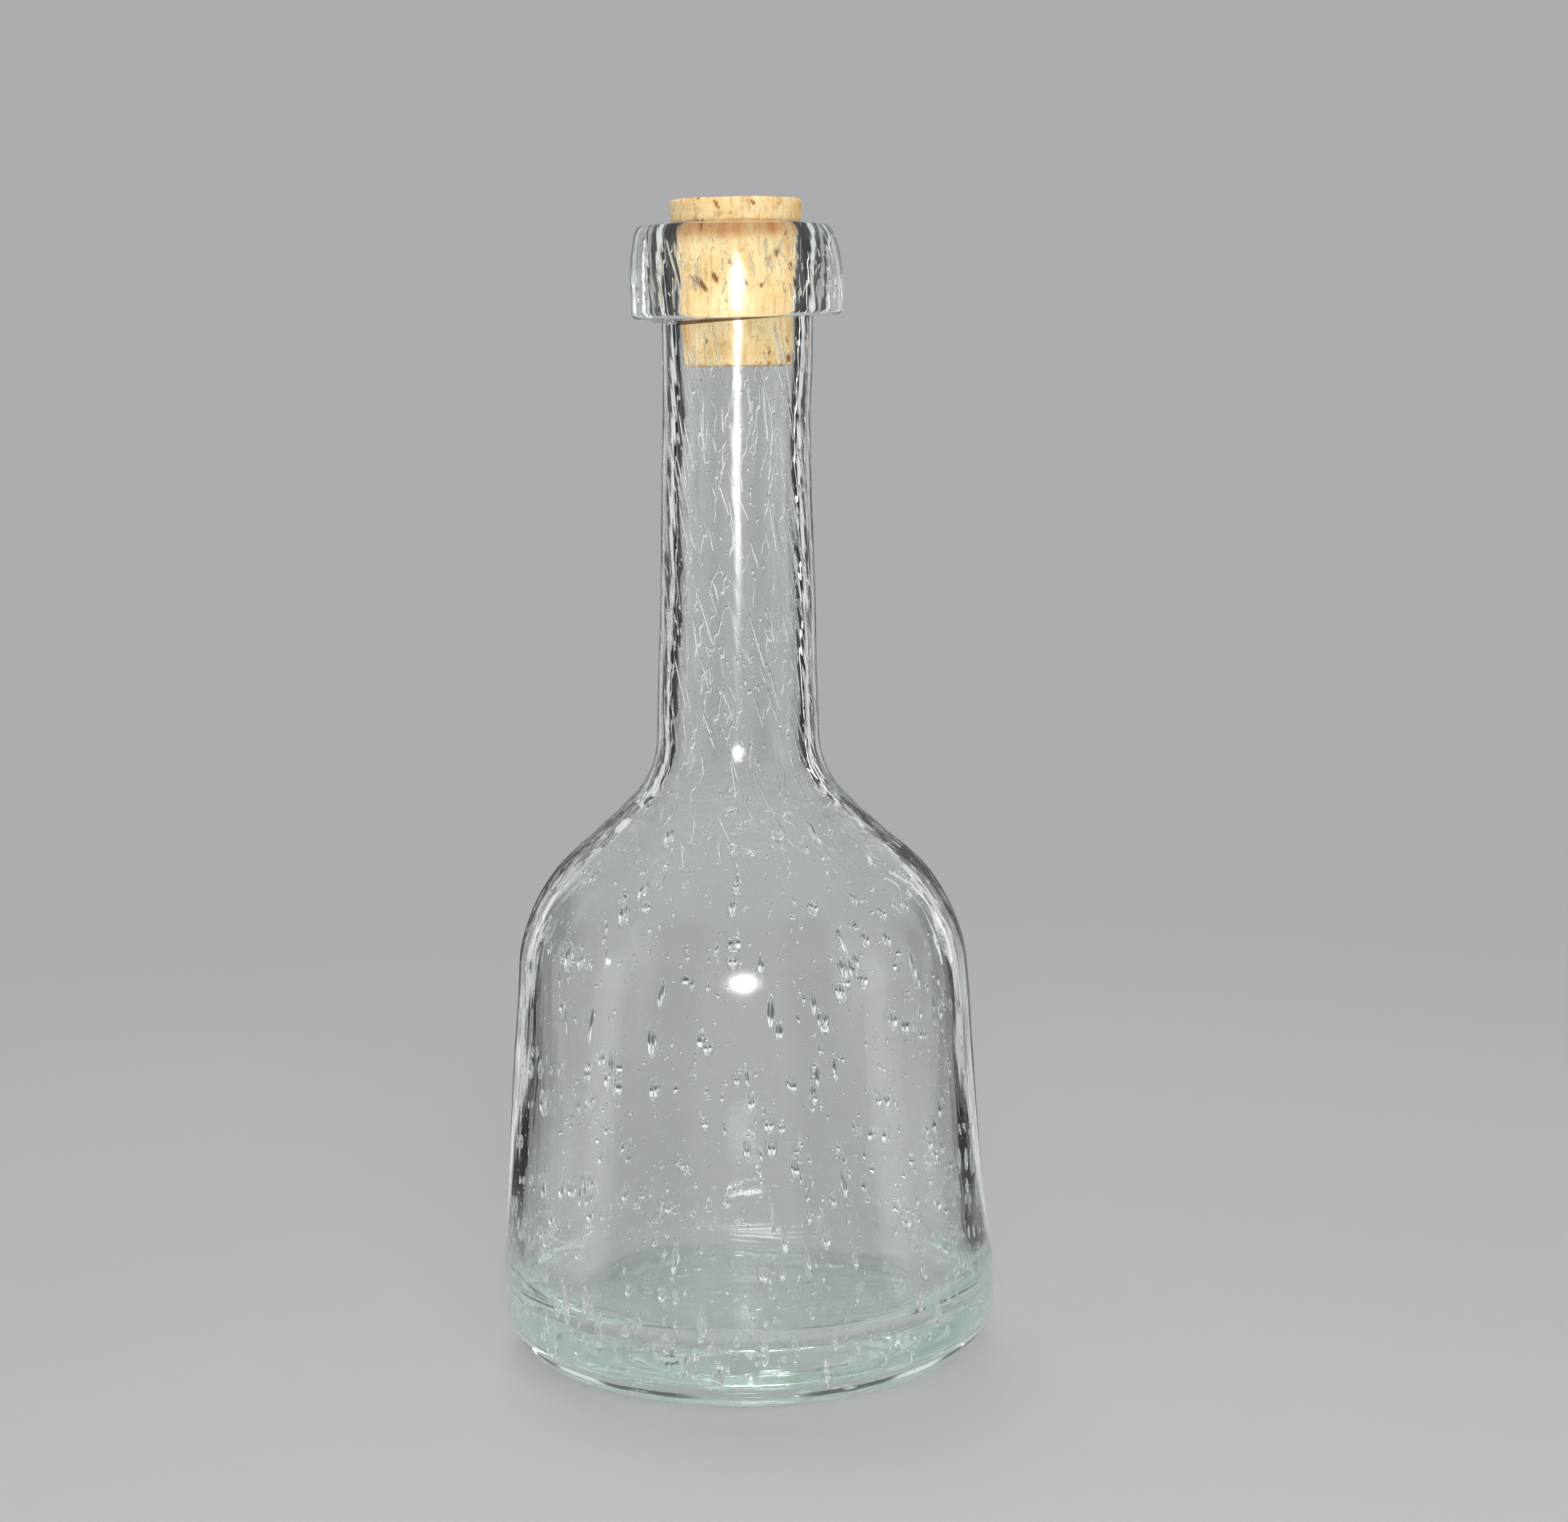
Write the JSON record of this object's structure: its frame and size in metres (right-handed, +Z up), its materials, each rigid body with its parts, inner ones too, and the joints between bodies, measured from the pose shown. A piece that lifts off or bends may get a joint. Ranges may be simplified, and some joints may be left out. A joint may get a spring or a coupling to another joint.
{
  "type": "stoppered glass carafe",
  "caption": "Bottle-shaped carafe of thick bubbly hand-blown glass with a long neck, a thick lip ring and a tapered cork stopper.",
  "frame": {"origin": "middle of the flat underside, on the surface that the carafe stands on", "axes": "+Z up along the axis of the carafe; the body is round, so X and Y are any pair square to it"},
  "size_m": [0.1064, 0.1064, 0.2477],
  "materials": {
    "seeded_glass": "clear hand-blown glass, glossy and slightly uneven, full of small upright air bubbles",
    "lip_glass": "thick clear glass with soft folds and drawn-out bubbles from being wound on hot",
    "natural_cork": "raw natural cork, matt and fine-grained, with a few brown pores"
  },
  "bodies": {
    "bottle": {"glass_bottle": "seeded_glass", "lip_ring": "lip_glass"},
    "stopper": {"cork_stopper": "natural_cork"}
  },
  "joints": [
    {"name": "cork_pull", "type": "slide", "parent": "bottle", "child": "stopper", "axis": [0, 0, 1], "range_m": [0, 0.045]}
  ]
}
